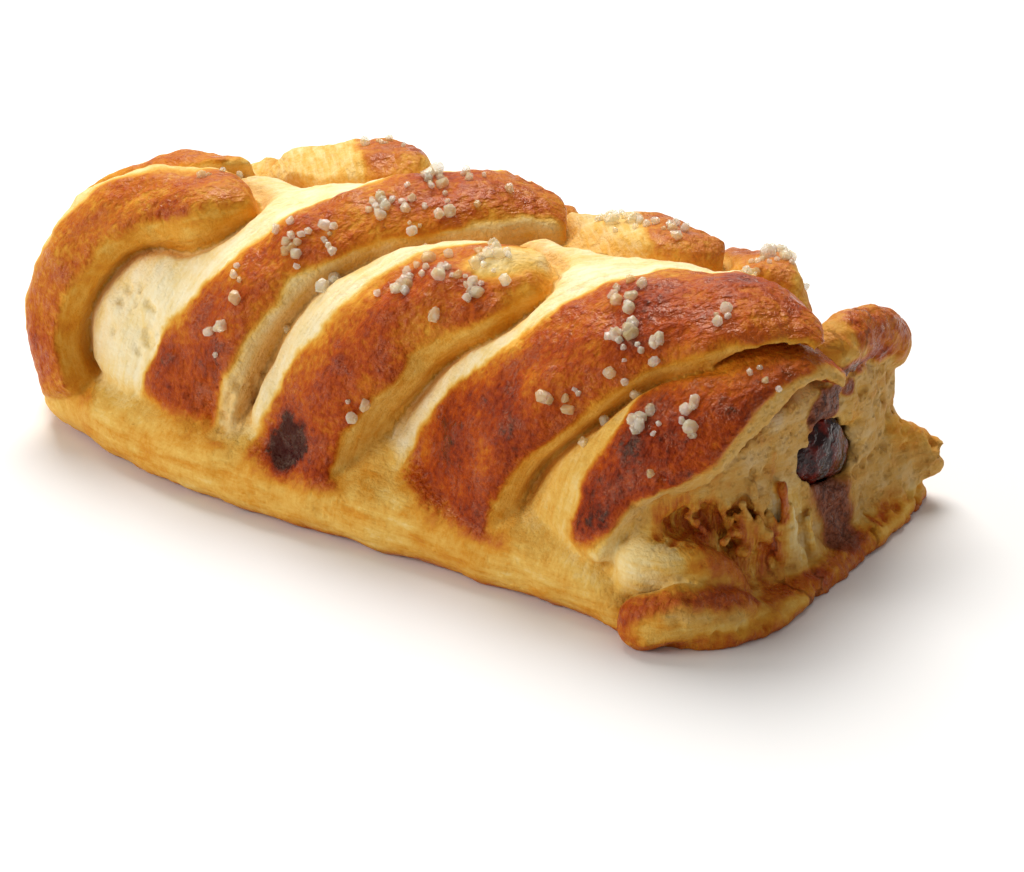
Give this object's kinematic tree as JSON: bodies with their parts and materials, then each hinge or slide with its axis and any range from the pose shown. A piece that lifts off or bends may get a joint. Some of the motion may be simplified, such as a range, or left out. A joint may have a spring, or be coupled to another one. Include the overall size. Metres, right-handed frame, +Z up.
{
  "type": "sweet milk braid",
  "caption": "Filled plaited pastry with folded dough strips, sugar on the crowns, a tucked end and an open end that shows dark jam.",
  "frame": {"origin": "under the middle of the braid, on the flat underside it rests on", "axes": "+X along the braid towards the open end, +Z up, -Y towards the long side seen in the picture"},
  "size_m": [0.1528, 0.0828, 0.0497],
  "materials": {
    "baked_dough": "egg-washed brown crust, pale crumb in the grooves",
    "jam": "glossy dark jam"
  },
  "bodies": {
    "root": {"dough": "baked_dough", "filling": "jam"}
  },
  "joints": []
}
